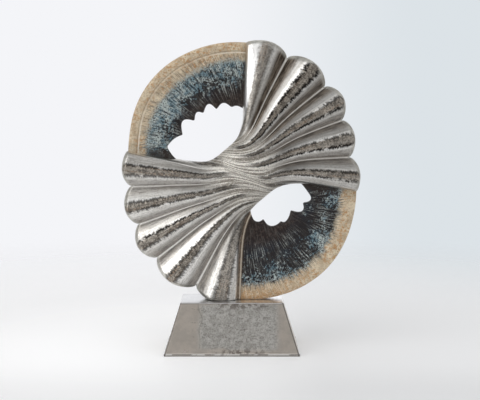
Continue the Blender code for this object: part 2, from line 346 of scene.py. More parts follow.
def band_columns():
    """Flute counts round the band from 0 to 10, closer together on the outer side of the edge flutes."""
    even = np.arange(COLUMNS_A_FLUTE) / COLUMNS_A_FLUTE
    front = []
    for flute in range(FLUTES_A_SIDE):
        if flute == 0:
            places = even**EDGE_COLUMN_POWER
        elif flute == FLUTES_A_SIDE - 1:
            places = 1 - (1 - even) ** EDGE_COLUMN_POWER
        else:
            places = even
        front.append(flute + places)
    front = np.concatenate(front)
    return np.concatenate((front, front + FLUTES_A_SIDE, (2 * FLUTES_A_SIDE,)))


def grid_normals(points):
    """Unit normals of a grid of points whose last column stands where its first one does."""
    padded = np.concatenate((points[:, -2:-1], points, points[:, 1:2]), axis=1)
    across = padded[:, 2:] - padded[:, :-2]
    along = np.gradient(points, axis=0)
    normal = np.cross(across, along)
    length = np.linalg.norm(normal, axis=-1, keepdims=True)
    return normal / np.maximum(length, 1e-12)


def grid_object(name, points, layout, material):
    """Mesh of quads from a grid of points, with the grid's own layout kept as a UV map. The last column
    stands where the first one does and is used only for the layout."""
    rows, columns = points.shape[:2]
    used = columns - 1
    index = np.arange(rows * used).reshape(rows, used)
    row, column = np.meshgrid(np.arange(rows - 1), np.arange(used), indexing="ij")
    square = ((0, 0), (0, 1), (1, 1), (1, 0))
    quads = np.stack([index[row + up, (column + over) % used] for up, over in square], axis=-1)
    corners = np.stack([layout[row + up, column + over] for up, over in square], axis=-2)
    mesh = bpy.data.meshes.new(name)
    mesh.from_pydata(points[:, :used].reshape(-1, 3).tolist(), [], quads.reshape(-1, 4).tolist())
    mesh.uv_layers.new(name="layout")
    mesh.uv_layers["layout"].data.foreach_set("uv", corners.reshape(-1).astype(np.float32))
    mesh.materials.append(material)
    made = bpy.data.objects.new(name, mesh)
    bpy.context.scene.collection.objects.link(made)
    return made


def finish_mesh(piece):
    """Join points that meet, turn the normals outward and shade smooth."""
    shape = bmesh.new()
    shape.from_mesh(piece.data)
    bmesh.ops.remove_doubles(shape, verts=shape.verts, dist=JOIN_DISTANCE)
    bmesh.ops.recalc_face_normals(shape, faces=shape.faces)
    shape.to_mesh(piece.data)
    shape.free()
    piece.data.shade_smooth()
    return piece


def inside_disc_box(points):
    """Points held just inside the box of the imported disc."""
    return np.clip(points, disc_low + KEEP_INSIDE, disc_high - KEEP_INSIDE)


def make_band(material):
    """Fluted band with hammered dents; two point layers hold the looks of the flute each point is on."""
    counts = band_columns()
    stations = band_stations()
    q, s = np.meshgrid(counts / FLUTES_A_SIDE, stations)
    points = band_point(s, q)
    normals = grid_normals(points)
    coarse = smooth_noise(points, HAMMER_PITCH)
    dents = coarse * (1 - HAMMER_FINE_SHARE) + smooth_noise(points, HAMMER_PITCH / 2.3) * HAMMER_FINE_SHARE
    # the grid's normals point inward or outward all over; the middle of the front says which
    probe = (len(stations) // 2, 2 * COLUMNS_A_FLUTE, 1)
    outward = 1.0 if normals[probe] * points[probe] > 0 else -1.0
    ends = np.clip((1 - np.abs(s)) / HAMMER_FADE_AT_RIM, 0, 1)
    points = points - outward * normals * (HAMMER_DENT * dents * ends)[..., None]
    points = inside_disc_box(points)
    layout = np.stack((q * FLUTES_A_SIDE, s), axis=-1)
    piece = grid_object("fluted_band", points, layout, material)
    flute = np.floor(q * FLUTES_A_SIDE + 1e-9).astype(int) % len(FLUTE_LOOKS)
    phase = q * FLUTES_A_SIDE % 1.0
    looks = FLUTE_LOOKS[flute]
    valley = np.where(phase < 0.5, looks[..., 6], FLUTE_LOOKS[(flute + 1) % len(FLUTE_LOOKS), 6])
    crest_reflection = looks[..., :4]
    tone = np.stack((looks[..., 4], looks[..., 5], valley, looks[..., 7]), axis=-1)
    for name, values in (("crest_reflection", crest_reflection), ("tone", tone)):
        layer = piece.data.color_attributes.new(name, "FLOAT_COLOR", "POINT")
        layer.data.foreach_set("color", values[:, :-1].reshape(-1).astype(np.float32))
    return finish_mesh(piece)


def eye_edge(teeth, roundness):
    """Fine angles and radii along a toothed inner edge, with the tips of the teeth worn round."""
    first = teeth[0][0]
    last = teeth[-1][0]
    count = int((last - first) / DEGREES_A_STATION)
    angles = np.linspace(first, last, count)
    radii = np.zeros(count)
    for (start, low, bite, lean), (end, high, _, _) in zip(teeth, teeth[1:]):
        here = (angles >= start) & (angles <= end)
        x = np.clip((angles[here] - start) / (end - start), 0, 1)
        radii[here] = low + (high - low) * x + bite * np.abs(np.sin(np.pi * x**lean)) ** roundness
    reach = TOOTH_WEAR_STATIONS
    kernel = np.exp(-0.5 * (np.arange(-reach, reach + 1) / TOOTH_WEAR_SPREAD) ** 2)
    padded = np.concatenate((np.full(reach, radii[0]), radii, np.full(reach, radii[-1])))
    radii = np.convolve(padded, kernel / kernel.sum(), mode="valid")
    return np.radians(angles), radii * EYE_RADIUS


def fan_edge(end, c):
    """Side edge of a fan as points x, z: end is 1 for the upper fan and -1 for the lower one, c is 1 for
    the edge towards the upper left and -1 for the one towards the lower right."""
    s = end * np.linspace(0.12, 1, 220)
    notch = (1 - NOTCH_LOSS_AT_EDGE) * NOTCH_SHARE
    return band_plan(s, c, notch) + np.array((DISC_SHIFT, DISC_CENTRE_HEIGHT))


def distance_to(line, points):
    """Distance in x and z from points to the nearest point of a line."""
    flat = points[..., (0, 2)]
    return np.min([np.linalg.norm(flat - place, axis=-1) for place in line], axis=0)


def make_crescent(name, edge, insets, side, bead, material):
    """Crescent-shaped plate: edge is its toothed inner edge, side is 1 for the upper crescent and -1 for
    the lower one, and bead is the height of its raised line."""
    angles, radii = edge
    middle_inset, first_inset, last_inset = insets
    eye = -side * EYE_OFFSET
    way = (angles - angles[0]) / (angles[-1] - angles[0])
    start, end = CRESCENT_REACH + (0 if side > 0 else np.pi)
    outer_angle = start + (end - start) * way
    inner = eye + radii[:, None] * np.stack((np.cos(angles), np.sin(angles)), axis=-1)
    end_inset = np.where(way < 0.5, first_inset, last_inset)
    outer_radius = outline_radius(outer_angle) - middle_inset - end_inset * (2 * way - 1) ** 2
    outer = outer_radius[:, None] * np.stack((np.cos(outer_angle), np.sin(outer_angle)), axis=-1)

    even = np.linspace(0, 1, POINTS_ACROSS_CRESCENT)
    share = even * EVEN_SPACING_SHARE + (1 - EVEN_SPACING_SHARE) * 0.5 * (1 - np.cos(np.pi * even))
    share = np.concatenate((share, share[-2:0:-1], share[:1]))
    front = np.full(POINTS_ACROSS_CRESCENT, -1.0)
    back = np.full(POINTS_ACROSS_CRESCENT - 2, 1.0)
    face = np.concatenate((front, back, (-1.0,)))
    half = (CRESCENT_INNER_DEPTH + (CRESCENT_OUTER_DEPTH - CRESCENT_INNER_DEPTH) * share) / 2
    half = half - CRESCENT_DISH * np.sin(np.pi * share)
    rounded = np.clip(1 - np.abs(2 * share - 1) ** CRESCENT_EDGE_POWER, 0, 1) ** (1 / CRESCENT_EDGE_POWER)

    flat = inner[:, None] + (outer - inner)[:, None] * share[None, :, None]
    width = np.linalg.norm(outer - inner, axis=-1)
    from_rim = width[:, None] * (1 - share[None, :])
    along = np.cumsum(np.concatenate(((0,), np.linalg.norm(np.diff(outer, axis=0), axis=-1))))
    along = np.broadcast_to(along[:, None], from_rim.shape)
    place = np.stack((along * 4.0, from_rim * 0.5, np.full(from_rim.shape, 0.5)), axis=-1)
    scratches = smooth_noise(place, SCRATCH_PITCH)
    past_bead = from_rim - BEAD_FROM_RIM
    past_groove = past_bead + GROOVE_BEAD_WIDTHS_AWAY * BEAD_WIDTH
    raised = bead * np.exp(-((past_bead / BEAD_WIDTH) ** 2))
    raised = raised - GROOVE_SHARE * bead * np.exp(-((past_groove / BEAD_WIDTH) ** 2))
    inner_zone = np.clip(past_bead / 0.004, 0, 1)
    relief = raised - SCRATCH_RELIEF * scratches * inner_zone
    depth = (half * rounded)[None, :] + relief * rounded[None, :]
    x = flat[..., 0] + DISC_SHIFT
    y = face[None, :] * depth
    z = flat[..., 1] + DISC_CENTRE_HEIGHT
    points = inside_disc_box(np.stack((x, y, z), axis=-1))
    layout = LAYOUT_SCALE * np.stack((from_rim, along), axis=-1)
    piece = grid_object(name, points, layout, material)
    beside = np.zeros((points.shape[0], points.shape[1] - 1, 4))
    beside[..., 0] = LAYOUT_SCALE * distance_to(fan_edge(side, side), points[:, :-1])
    beside[..., 1] = LAYOUT_SCALE * distance_to(fan_edge(-side, side), points[:, :-1])
    layer = piece.data.color_attributes.new("beside", "FLOAT_COLOR", "POINT")
    layer.data.foreach_set("color", beside.reshape(-1).astype(np.float32))
    close_ends(piece, points)
    return finish_mesh(piece)


def close_ends(piece, points):
    """Cap the first and the last ring of a grid that closes on itself."""
    rows, columns = points.shape[:2]
    used = columns - 1
    shape = bmesh.new()
    shape.from_mesh(piece.data)
    shape.verts.ensure_lookup_table()
    first = [shape.verts[i] for i in range(used)]
    last = [shape.verts[(rows - 1) * used + i] for i in range(used)]
    shape.faces.new(first[::-1])
    shape.faces.new(last)
    shape.to_mesh(piece.data)
    shape.free()


def rounded_rectangle(width, depth, radius, points_a_side, points_a_corner):
    """Points round a rectangle with round corners, centred on the origin, starting on the front."""
    half_x = width / 2 - radius
    half_y = depth / 2 - radius
    corners = ((half_x, -half_y, -90), (half_x, half_y, 0), (-half_x, half_y, 90), (-half_x, -half_y, 180))
    ring = []
    for number, (x, y, turn) in enumerate(corners):
        arc = np.radians(turn + np.linspace(0, 90, points_a_corner))
        ring += [(x + radius * np.cos(a), y + radius * np.sin(a)) for a in arc]
        next_x, next_y, next_turn = corners[(number + 1) % 4]
        next_turn = np.radians(next_turn)
        end = np.array((next_x + radius * np.cos(next_turn), next_y + radius * np.sin(next_turn)))
        begin = np.array(ring[-1])
        for share in np.linspace(0, 1, points_a_side + 1)[1:-1]:
            ring.append(tuple(begin + (end - begin) * share))
    return np.array(ring)


def make_plinth(material):
    """Truncated pyramid with rounded edges and a foot lip, from rings stacked upwards and closed at the top
    and below."""
    low, high = plinth_low, plinth_high
    width = high[0] - low[0]
    depth = high[1] - low[1]
    height = high[2]
    top_width = width * PLINTH_TOP_SHARES[0]
    top_depth = depth * PLINTH_TOP_SHARES[1]
    lip = PLINTH_LIP_HEIGHT
    step = PLINTH_LIP_STEP
    levels = []
    for a in np.linspace(0, 1, 5) * np.pi / 2:
        levels.append((PLINTH_FOOT_ROUND * (1 - np.sin(a)), PLINTH_FOOT_ROUND * (1 - np.cos(a))))
    levels.append((0.0, lip * 0.6))
    for a in np.linspace(0, 1, 4) * np.pi / 2:
        z = lip - PLINTH_LIP_ROUND + PLINTH_LIP_ROUND * np.sin(a)
        levels.append((PLINTH_LIP_ROUND * (1 - np.cos(a)), z))
    inward = (width - top_width) / 2
    for share in np.linspace(0.0, 1, 62)[:-1]:
        levels.append((step + (inward - step) * share, lip + (height - lip) * share))
    levels = [level for level in levels if level[1] < height - PLINTH_TOP_ROUND]
    base_inset, base_height = levels[-1]
    for a in np.linspace(0, 1, 9)[1:] * np.pi / 2:
        inset = base_inset + (inward + PLINTH_TOP_INSET - base_inset) * (1 - np.cos(a * 0.999))
        levels.append((inset, base_height + (height - base_height) * np.sin(a)))
    depth_inward = (depth - top_depth) / 2
    rings = []
    for inset, z in levels:
        inset_y = inset
        if inset > step:
            inset_y = step + (depth_inward - step) * (inset - step) / (inward - step)
        radius = PLINTH_CORNER_RADIUS + PLINTH_CORNER_GROWTH * (inset / inward)
        size = (width - 2 * inset, depth - 2 * inset_y)
        ring = rounded_rectangle(*size, radius, POINTS_A_PLINTH_SIDE, POINTS_A_PLINTH_CORNER)
        rings.append(np.column_stack((ring, np.full(len(ring), z))))
    top_ring = rings[-1]
    for share in np.linspace(1, 0, 22)[1:]:
        rings.append(top_ring * np.array((share, share, 1)))
    points = np.array(rings)
    bottom = points[0] * np.array((0, 0, 1))
    points = np.concatenate((bottom[None], points), axis=0)
    points = np.concatenate((points, points[:, :1]), axis=1)

    centre = np.array(((low[0] + high[0]) / 2, (low[1] + high[1]) / 2, low[2]))
    wear = smooth_noise(points, 0.006) * 0.6 + smooth_noise(points, 0.0024) * 0.4
    sideways = np.stack((points[..., 0], points[..., 1], np.zeros(points.shape[:2])), axis=-1)
    length = np.maximum(np.linalg.norm(sideways, axis=-1, keepdims=True), 1e-9)
    above_lip = np.clip((points[..., 2] - 0.005) / PLINTH_WEAR_FADE, 0, 1)
    below_top = np.clip((height - 0.003 - points[..., 2]) / PLINTH_WEAR_FADE, 0, 1)
    on_slope = above_lip * below_top
    points = points - sideways / length * (PLINTH_WEAR * wear * on_slope)[..., None]
    points = points + centre
    points = np.clip(points, low + KEEP_INSIDE * 0.2, high - KEEP_INSIDE * 0.2)
    points[..., 2] = np.where(points[..., 2] <= low[2] + KEEP_INSIDE * 0.3, low[2], points[..., 2])
    layout = np.stack((points[..., 0], points[..., 2]), axis=-1)
    return finish_mesh(grid_object("pewter_plinth", points, layout, material))


class Graph:
    """Short names for the nodes of one material or world."""

    def __init__(self, tree):
        self.tree = tree

    def add(self, kind, **settings):
        made = self.tree.nodes.new(kind)
        for key, value in settings.items():
            setattr(made, key, value)
        return made

    def put(self, socket, value):
        if isinstance(value, bpy.types.NodeSocket):
            self.tree.links.new(value, socket)
        elif isinstance(value, (tuple, list)) and socket.type == "RGBA" and len(value) == 3:
            socket.default_value = (*value, 1.0)
        else:
            socket.default_value = value

    def math(self, operation, a, b=0.0):
        made = self.add("ShaderNodeMath", operation=operation)
        for socket, value in zip(made.inputs, (a, b)):
            self.put(socket, value)
        return made.outputs[0]

    def plus(self, a, b):
        return self.math("ADD", a, b)

    def minus(self, a, b):
        return self.math("SUBTRACT", a, b)

    def times(self, a, b):
        return self.math("MULTIPLY", a, b)

    def swing(self, noise, width):
        """Noise from 0 to 1 made to swing round zero."""
        return self.times(self.minus(noise, 0.5), width)

    def vector(self, operation, a, b=(0.0, 0.0, 0.0), scale=None):
        made = self.add("ShaderNodeVectorMath", operation=operation)
        self.put(made.inputs[0], a)
        self.put(made.inputs[1], b)
        if scale is not None:
            self.put(made.inputs["Scale"], scale)
        return made.outputs["Value"] if operation in ("DOT_PRODUCT", "LENGTH") else made.outputs[0]

    def split(self, value):
        made = self.add("ShaderNodeSeparateXYZ")
        self.put(made.inputs[0], value)
        return made.outputs[0], made.outputs[1], made.outputs[2]

    def join(self, x, y, z):
        made = self.add("ShaderNodeCombineXYZ")
        for socket, value in zip(made.inputs, (x, y, z)):
            self.put(socket, value)
        return made.outputs[0]

    def noise(self, vector, scale, detail=2.0, roughness=0.5):
        made = self.add("ShaderNodeTexNoise")
        settings = {"Vector": vector, "Scale": scale, "Detail": detail, "Roughness": roughness}
        for name, value in settings.items():
            self.put(made.inputs[name], value)
        return made.outputs["Fac"]

    def smooth(self, value, low, high, out_low=0.0, out_high=1.0):
        """Soft step: out_low below low and out_high above high."""
        made = self.add("ShaderNodeMapRange", interpolation_type="SMOOTHSTEP")
        names = ("Value", "From Min", "From Max", "To Min", "To Max")
        for name, item in zip(names, (value, low, high, out_low, out_high)):
            self.put(made.inputs[name], item)
        return made.outputs[0]

    def near(self, value, centre, reach):
        """1 at centre, falling softly to 0 at reach on both sides."""
        away = self.math("ABSOLUTE", self.minus(value, centre))
        return self.smooth(away, 0.0, reach, 1.0, 0.0)

    def mix(self, share, a, b):
        made = self.add("ShaderNodeMix", data_type="RGBA")
        self.put(made.inputs[0], share)
        self.put(made.inputs[6], a)
        self.put(made.inputs[7], b)
        return made.outputs[2]

    def bump(self, height, strength, distance, normal=None):
        made = self.add("ShaderNodeBump")
        self.put(made.inputs["Strength"], strength)
        self.put(made.inputs["Distance"], distance)
        self.put(made.inputs["Height"], height)
        if normal is not None:
            self.put(made.inputs["Normal"], normal)
        return made.outputs[0]


def new_material(name):
    """A material, the short names for its nodes, and its shader."""
    made = bpy.data.materials.new(name)
    made.use_nodes = True
    graph = Graph(made.node_tree)
    shader = made.node_tree.nodes["Principled BSDF"]
    return made, graph, shader


def worn_silver():
    """Hammered silver: a band along the crests painted as a reflection of the dark front, with wear specks,
    painted light and shade on the flanks, brown stripes and a bright thread in each valley.
    """
    material, g, shader = new_material("worn_silver")
    u, v, _ = g.split(g.add("ShaderNodeUVMap", uv_map="layout").outputs[0])
    place = g.add("ShaderNodeTexCoord").outputs["Object"]
    crest_layer = g.add("ShaderNodeAttribute", attribute_name="crest_reflection")
    middle, half_width, upper_edge = g.split(crest_layer.outputs["Vector"])
    lower_edge = crest_layer.outputs["Alpha"]
    tone_layer = g.add("ShaderNodeAttribute", attribute_name="tone")
    left_flank_painted_light, right_flank_painted_light, valley_dark = g.split(tone_layer.outputs["Vector"])
    crest_reflection_dark = tone_layer.outputs["Alpha"]
    phase = g.math("FRACT", u)
    flute = g.math("FLOOR", u)
    out = g.math("ABSOLUTE", v)

    comb = g.noise(g.join(g.times(u, 4.0), g.times(v, 70.0), flute), 1.0, 3.0, 0.65)
    streak = g.noise(g.join(g.times(u, 13.0), g.times(v, 2.6), flute), 1.0, 3.0, 0.55)
    hair = g.noise(g.join(g.times(u, 34.0), g.times(v, 9.0), flute), 1.0, 3.0, 0.6)
    blotch = g.noise(place, 140.0, 4.0, 0.62)
    grain = g.noise(place, 420.0, 3.0, 0.65)
    speck = g.noise(place, 700.0, 3.0, 0.6)
    waist = g.smooth(out, 0.40, 0.10)

    # crest band with jagged borders: a painted reflection of the dark front, with rust and wear specks
    jagged = g.plus(phase, g.swing(comb, 0.22))
    from_middle = g.minus(jagged, middle)
    away = g.math("ABSOLUTE", from_middle)
    cap = g.smooth(out, 0.996, 0.972)
    half = g.times(half_width, cap)
    strength = g.smooth(out, 0.03, 0.15)
    band = g.smooth(g.minus(away, half), -0.03, 0.008, 1.0, 0.0)
    band = g.times(g.times(band, strength), crest_reflection_dark)
    below = g.smooth(from_middle, -0.02, 0.02)
    above = g.minus(1.0, below)
    edge = g.plus(g.times(lower_edge, below), g.times(upper_edge, above))
    reach = g.plus(0.072, g.times(g.smooth(out, 0.5, 0.15), 0.04))
    crest_reflection_border = g.smooth(g.math("ABSOLUTE", g.minus(away, half)), 0.014, reach, 1.0, 0.0)
    crest_reflection_border = g.times(crest_reflection_border, g.times(edge, g.smooth(blotch, 0.34, 0.50)))
    crest_reflection_border = g.times(crest_reflection_border, g.times(strength, g.smooth(cap, 0.1, 0.7)))

    # valleys: two soft brown stripes with a bright thread between them
    to_valley = g.math("MINIMUM", phase, g.minus(1.0, phase))
    bent = g.plus(to_valley, g.swing(streak, 0.12))
    stripe = g.times(g.smooth(bent, 0.12, 0.29, 1.0, 0.0), valley_dark)
    thread = g.times(g.smooth(to_valley, 0.012, 0.030, 1.0, 0.0), g.smooth(out, 0.12, 0.4))

    # painted light and shade on the flanks: each flute's left and right flank as bright as its row says,
    # the left flanks dimmer towards the waist, and painted shade on part of the upper fan's left flanks
    side = g.smooth(phase, 0.42, 0.62)
    near_rim = g.smooth(out, 0.30, 0.75, 0.50, 1.0)
    left_now = g.times(left_flank_painted_light, near_rim)
    other = g.minus(1.0, side)
    bright = g.plus(g.times(right_flank_painted_light, side), g.times(left_now, other))
    upper_fan = g.times(g.smooth(u, 0.98, 1.02), g.smooth(u, 5.02, 4.98))
    upper_fan_shade = g.times(g.times(upper_fan, g.smooth(phase, 0.38, 0.29)), 0.48)
    bright = g.times(bright, g.minus(1.0, upper_fan_shade))
    light = g.vector("SCALE", (1.0, 0.985, 0.95), scale=bright)
    worn_streak_with_painted_light = g.vector("SCALE", (0.56, 0.53, 0.485), scale=bright)
    colour = g.mix(g.smooth(streak, 0.40, 0.64, 0.0, 0.60), light, worn_streak_with_painted_light)
    colour = g.mix(g.smooth(hair, 0.52, 0.66, 0.0, 0.42), colour, (0.27, 0.25, 0.225))
    colour = g.mix(g.smooth(grain, 0.50, 0.64, 0.0, 0.34), colour, (0.24, 0.22, 0.195))
    brown = g.mix(g.smooth(hair, 0.40, 0.60), (0.20, 0.168, 0.135), (0.060, 0.047, 0.037))
    # painted highlight: a white patch on the first flute's left flank
    painted_highlight_patch = g.times(g.smooth(u, 0.46, 0.36), g.times(g.smooth(u, 0.05, 0.10), g.smooth(v, 0.12, 0.35)))
    colour = g.mix(g.times(painted_highlight_patch, 0.85), colour, (1.0, 1.0, 1.0))
    colour = g.mix(stripe, colour, brown)
    colour = g.mix(g.times(thread, 0.85), colour, (0.93, 0.91, 0.87))
    crest_reflection = g.mix(g.smooth(hair, 0.42, 0.60), (0.34, 0.31, 0.27), (0.56, 0.51, 0.445))
    rust = g.times(g.smooth(streak, 0.50, 0.62), g.smooth(comb, 0.42, 0.56, 0.0, 0.75))
    crest_reflection = g.mix(g.smooth(blotch, 0.50, 0.62, 0.0, 0.75), crest_reflection, (0.15, 0.132, 0.112))
    crest_reflection = g.mix(g.times(rust, 0.7), crest_reflection, (0.42, 0.27, 0.165))
    crest_reflection = g.mix(g.smooth(grain, 0.48, 0.60, 0.0, 0.65), crest_reflection, (0.085, 0.074, 0.063))
    crest_reflection = g.mix(g.smooth(comb, 0.55, 0.66, 0.0, 0.40), crest_reflection, (0.72, 0.68, 0.61))
    crest_reflection = g.mix(g.smooth(out, 0.60, 0.22, 0.0, 0.42), crest_reflection, (0.085, 0.073, 0.062))
    colour = g.mix(band, colour, crest_reflection)
    colour = g.mix(crest_reflection_border, colour, (0.022, 0.019, 0.017))
    pits = g.times(g.smooth(speck, 0.55, 0.63), g.plus(g.times(band, 0.45), 0.20))
    colour = g.mix(pits, colour, (0.035, 0.03, 0.026))

    # waist: fine grey lines
    shifted = g.plus(u, g.swing(comb, 0.07))
    fine = g.noise(g.join(g.times(shifted, 6.5), g.times(v, 2.0), 2.0), 1.0, 2.0, 0.6)
    grey = g.mix(g.smooth(fine, 0.46, 0.53), (0.98, 0.955, 0.90), (0.37, 0.34, 0.295))
    grey = g.mix(g.smooth(grain, 0.50, 0.62, 0.0, 0.45), grey, (1.0, 0.98, 0.93))
    grey = g.mix(g.smooth(speck, 0.52, 0.62, 0.0, 0.5), grey, (0.20, 0.18, 0.155))
    kept = g.minus(1.0, g.times(g.math("MAXIMUM", band, crest_reflection_border), 0.90))
    colour = g.mix(g.times(g.times(waist, 0.9), kept), colour, grey)
    rim = g.times(g.smooth(out, 0.945, 0.988, 0.0, 0.8), g.minus(1.0, band))
    colour = g.mix(rim, colour, g.mix(g.smooth(blotch, 0.4, 0.6), (0.66, 0.65, 0.60), (0.42, 0.41, 0.375)))
    beige = g.times(g.smooth(u, 0.20, 0.06), g.smooth(v, 0.1, 0.4))
    colour = g.mix(g.times(beige, 0.8), colour, (0.56, 0.49, 0.40))
    g.put(shader.inputs["Base Color"], colour)
    shader.inputs["Metallic"].default_value = 1.0
    rough = g.plus(0.24, g.times(blotch, 0.12))
    rough = g.plus(rough, g.times(band, 0.20))
    rough = g.plus(rough, g.times(waist, 0.36))
    rough = g.plus(rough, g.times(rim, 0.28))
    g.put(shader.inputs["Roughness"], g.plus(rough, g.times(stripe, 0.14)))

    dents = g.noise(place, 280.0, 3.0, 0.55)
    height = g.plus(g.times(dents, 0.8), g.times(comb, 0.5))
    normal = g.bump(height, 0.42, 0.0007)
    normal = g.bump(g.plus(hair, g.times(fine, waist)), 0.40, 0.0005, normal)
    g.put(shader.inputs["Normal"], normal)
    return material


def painted_metal(name, tan_width, dark_start, light_level, rust_below, bead_share, frayed_by, fan_shade_widths):
    """Paint that runs from tan at the rim through mottled teal to brown-black at the teeth, with painted
    brown-black shade beside the fans at the crescent's first and last end, as wide as the last argument
    says."""
    material, g, shader = new_material(name)
    inward, along, _ = g.split(g.add("ShaderNodeUVMap", uv_map="layout").outputs[0])
    inward = g.times(inward, 1 / LAYOUT_SCALE)
    along = g.times(along, 1 / LAYOUT_SCALE)
    place = g.add("ShaderNodeTexCoord").outputs["Object"]
    _, _, z = g.split(place)

    slanted = g.plus(along, g.times(inward, 0.25))
    lines = g.noise(g.join(g.times(slanted, 660.0), g.times(inward, 38.0), 0.0), 1.0, 2.0, 0.6)
    blotch = g.noise(place, 95.0, 4.0, 0.62)
    mottle = g.noise(place, 300.0, 4.0, 0.72)
    speck = g.noise(place, 620.0, 2.0, 0.6)
    wide = g.noise(place, 38.0, 3.0, 0.55)
    hatched = g.smooth(g.noise(place, 46.0, 2.0, 0.5), 0.44, 0.58)

    frayed = g.plus(inward, g.swing(lines, frayed_by))
    frayed = g.plus(frayed, g.swing(blotch, 0.016))
    from_middle = g.math("ABSOLUTE", g.minus(along, 0.14))
    swollen = g.smooth(from_middle, 0.110, 0.015, 0.0, 0.0048 * bead_share)
    tan_to_teal = g.smooth(g.minus(frayed, swollen), tan_width - 0.005, tan_width + 0.005)
    teal_to_dark = g.smooth(frayed, dark_start - 0.012, dark_start + 0.012)

    tan = g.mix(g.smooth(blotch, 0.40, 0.60), (0.74, 0.635, 0.47), (0.54, 0.435, 0.305))
    orange = g.times(g.smooth(mottle, 0.47, 0.60), g.smooth(wide, 0.44, 0.58))
    low_part = g.smooth(z, rust_below, rust_below - 0.03)
    orange = g.math("MAXIMUM", orange, g.times(low_part, g.smooth(mottle, 0.36, 0.56)))
    tan = g.mix(g.times(orange, 0.80), tan, (0.50, 0.255, 0.09))
    tan = g.mix(g.smooth(speck, 0.54, 0.66, 0.0, 0.65), tan, (0.20, 0.135, 0.085))
    before = g.times(g.smooth(inward, 0.012, 0.020), g.smooth(lines, 0.49, 0.60, 0.0, 0.70))
    tan = g.mix(before, tan, (0.20, 0.17, 0.135))
    tan = g.mix(g.smooth(lines, 0.46, 0.36, 0.0, 0.35), tan, (0.74, 0.66, 0.53))

    # how much light paint shows: most beside the tan, least at the teeth, in wide patches
    level = g.plus(light_level, g.times(g.minus(0.5, wide), 0.55))
    level = g.plus(level, g.times(teal_to_dark, 0.10))
    level = g.plus(level, g.smooth(inward, tan_width + 0.004, dark_start, -0.07, 0.09))
    light = g.smooth(g.minus(mottle, level), -0.025, 0.035)
    blue = g.mix(g.smooth(blotch, 0.42, 0.60), (0.16, 0.26, 0.31), (0.50, 0.57, 0.56))
    under = g.mix(g.smooth(wide, 0.42, 0.60), (0.022, 0.017, 0.016), (0.020, 0.026, 0.038))
    teal = g.mix(light, under, blue)
    streaked = g.plus(0.12, g.times(hatched, 0.55 + 0.30 * bead_share))
    teal = g.mix(g.times(streaked, g.smooth(lines, 0.52, 0.60, 0.0, 0.80)), teal, (0.52, 0.555, 0.53))
    teal = g.mix(g.smooth(lines, 0.48, 0.40, 0.0, 0.60 + 0.25 * bead_share), teal, (0.016, 0.016, 0.020))
    teal = g.mix(g.smooth(speck, 0.51, 0.60, 0.0, 0.85), teal, (0.014, 0.016, 0.022))
    dark = g.mix(g.smooth(mottle, 0.46, 0.64), (0.020, 0.012, 0.010), (0.066, 0.046, 0.038))
    dark = g.mix(g.smooth(lines, 0.55, 0.66, 0.0, 0.45), dark, (0.16, 0.155, 0.14))

    colour = g.mix(tan_to_teal, tan, teal)
    colour = g.mix(g.times(teal_to_dark, 0.9), colour, dark)
    # the raised bead painted pale as a highlight, with painted shade in the groove beside it
    bead = g.times(g.near(inward, BEAD_FROM_RIM, 0.0013), 0.85 * bead_share)
    bead = g.times(bead, g.smooth(blotch, 0.30, 0.52, 0.35, 1.0))
    bead = g.times(bead, g.smooth(from_middle, 0.05, 0.11, 0.35, 1.0))
    groove_shade = g.times(g.near(inward, BEAD_FROM_RIM - 0.0021, 0.0014), 0.55 * bead_share)
    colour = g.mix(groove_shade, colour, (0.23, 0.18, 0.13))
    colour = g.mix(bead, colour, (0.90, 0.85, 0.76))

    # both ends, beside the fans: painted shade where the fans stand proud of the crescent, and on the lower
    # crescent a brown strip with a pale seam
    beside = g.add("ShaderNodeAttribute", attribute_name="beside")
    from_first, from_last, _ = g.split(beside.outputs["Vector"])
    from_first = g.times(from_first, 1 / LAYOUT_SCALE)
    from_last = g.times(from_last, 1 / LAYOUT_SCALE)
    fray = g.swing(mottle, 0.022)
    first_end_shade = g.smooth(g.plus(from_first, fray), fan_shade_widths[0] + 0.003, fan_shade_widths[0] - 0.002)
    last_end_shade = g.smooth(g.plus(from_last, fray), fan_shade_widths[1] + 0.006, fan_shade_widths[1] - 0.004)
    ends = g.math("MAXIMUM", first_end_shade, last_end_shade)
    ends = g.times(ends, g.smooth(inward, tan_width, tan_width + 0.010, 0.25, 1.0))
    colour = g.mix(g.times(ends, 0.85), colour, (0.034, 0.024, 0.020))
    strip_share = 1.0 - bead_share
    strip = g.times(g.smooth(from_first, 0.0046, 0.0036), 0.9 * strip_share)
    strip_brown = g.mix(g.smooth(mottle, 0.42, 0.58), (0.25, 0.19, 0.14), (0.12, 0.09, 0.07))
    colour = g.mix(strip, colour, strip_brown)
    seam = g.times(g.near(from_first, 0.0024, 0.0013), 0.85 * strip_share)
    colour = g.mix(seam, colour, (0.74, 0.66, 0.54))
    g.put(shader.inputs["Base Color"], colour)
    shader.inputs["Metallic"].default_value = 0.15
    g.put(shader.inputs["Roughness"], g.plus(0.36, g.times(mottle, 0.28)))
    shader.inputs["Specular IOR Level"].default_value = 0.30
    normal = g.bump(lines, 0.40, 0.0006)
    normal = g.bump(mottle, 0.22, 0.0004, normal)
    g.put(shader.inputs["Normal"], normal)
    return material


